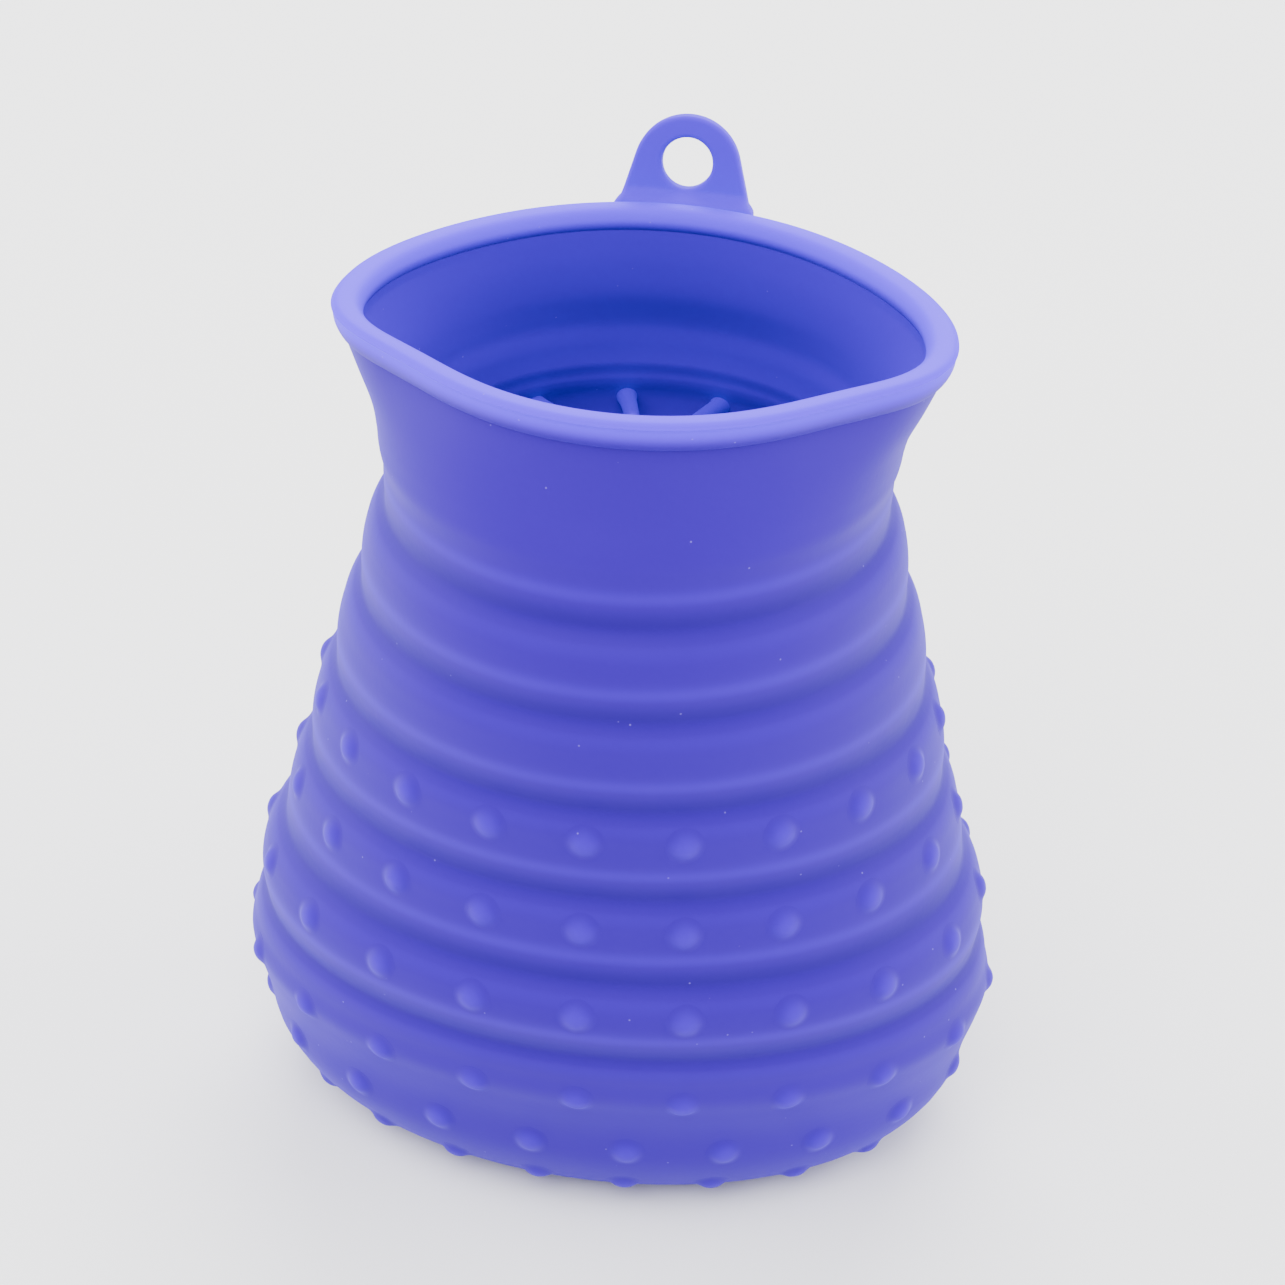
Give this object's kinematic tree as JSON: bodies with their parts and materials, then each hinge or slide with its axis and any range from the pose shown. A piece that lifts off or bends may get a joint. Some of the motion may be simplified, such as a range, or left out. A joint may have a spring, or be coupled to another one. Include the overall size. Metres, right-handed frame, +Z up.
{
  "type": "paw washer cup",
  "caption": "Soft silicone cup with a flared lens-shaped mouth, stepped folding walls, outer massage bumps, inner cleaning bristles and a hanging tab.",
  "frame": {"origin": "centre of the flat bottom", "axes": "+Z up out of the mouth, -Y the front, +Y the side with the hanging tab, +X to the right along the long axis of the oval body"},
  "size_m": [0.11, 0.0842, 0.1385],
  "materials": {
    "silicone": "matte, slightly translucent"
  },
  "bodies": {
    "base": {"base_bowl": "silicone", "fold_web_6": "silicone", "bump_row_4": "silicone", "bump_row_5": "silicone", "bump_row_6": "silicone", "bristle_row_6": "silicone"},
    "ring_5": {"band_5": "silicone", "fold_web_5": "silicone", "bristle_row_5": "silicone", "bump_row_3": "silicone"},
    "ring_4": {"band_4": "silicone", "fold_web_4": "silicone", "bristle_row_4": "silicone", "bump_row_2": "silicone"},
    "ring_3": {"band_3": "silicone", "fold_web_3": "silicone", "bristle_row_3": "silicone", "bump_row_1": "silicone"},
    "ring_2": {"band_2": "silicone", "fold_web_2": "silicone", "bristle_row_2": "silicone"},
    "ring_1": {"band_1": "silicone", "fold_web_1": "silicone", "bristle_row_1": "silicone"},
    "mouth": {"neck_collar": "silicone", "rim_bead": "silicone", "tab_root": "silicone"},
    "tab": {"hanging_tab": "silicone"}
  },
  "joints": [
    {"name": "fold_6", "type": "slide", "parent": "base", "child": "ring_5", "axis": [0, 0, 1], "range_m": [-0.0026, 0], "stiffness_N_per_m": 1500, "springref_m": 0.0008, "deforming": ["fold_web_6"]},
    {"name": "fold_5", "type": "slide", "parent": "ring_5", "child": "ring_4", "axis": [0, 0, 1], "range_m": [-0.0026, 0], "stiffness_N_per_m": 1500, "springref_m": 0.0008, "deforming": ["fold_web_5"]},
    {"name": "fold_4", "type": "slide", "parent": "ring_4", "child": "ring_3", "axis": [0, 0, 1], "range_m": [-0.0026, 0], "stiffness_N_per_m": 1500, "springref_m": 0.0008, "deforming": ["fold_web_4"]},
    {"name": "fold_3", "type": "slide", "parent": "ring_3", "child": "ring_2", "axis": [0, 0, 1], "range_m": [-0.0026, 0], "stiffness_N_per_m": 1500, "springref_m": 0.0008, "deforming": ["fold_web_3"]},
    {"name": "fold_2", "type": "slide", "parent": "ring_2", "child": "ring_1", "axis": [0, 0, 1], "range_m": [-0.0026, 0], "stiffness_N_per_m": 1500, "springref_m": 0.0008, "deforming": ["fold_web_2"]},
    {"name": "fold_1", "type": "slide", "parent": "ring_1", "child": "mouth", "axis": [0, 0, 1], "range_m": [-0.0026, 0], "stiffness_N_per_m": 1500, "springref_m": 0.0008, "deforming": ["fold_web_1"]},
    {"name": "tab_bend", "type": "hinge", "parent": "mouth", "child": "tab", "pos_m": [0, 0.0384, 0.1267], "axis": [1, 0, 0], "range_deg": [-25, 20], "stiffness_Nm_per_rad": 0.02, "deforming": ["tab_root"]}
  ],
  "couplings": [
    {"joint": "fold_5", "follows": "fold_6", "ratio": 1},
    {"joint": "fold_4", "follows": "fold_6", "ratio": 1},
    {"joint": "fold_3", "follows": "fold_6", "ratio": 1},
    {"joint": "fold_2", "follows": "fold_6", "ratio": 1},
    {"joint": "fold_1", "follows": "fold_6", "ratio": 1}
  ]
}
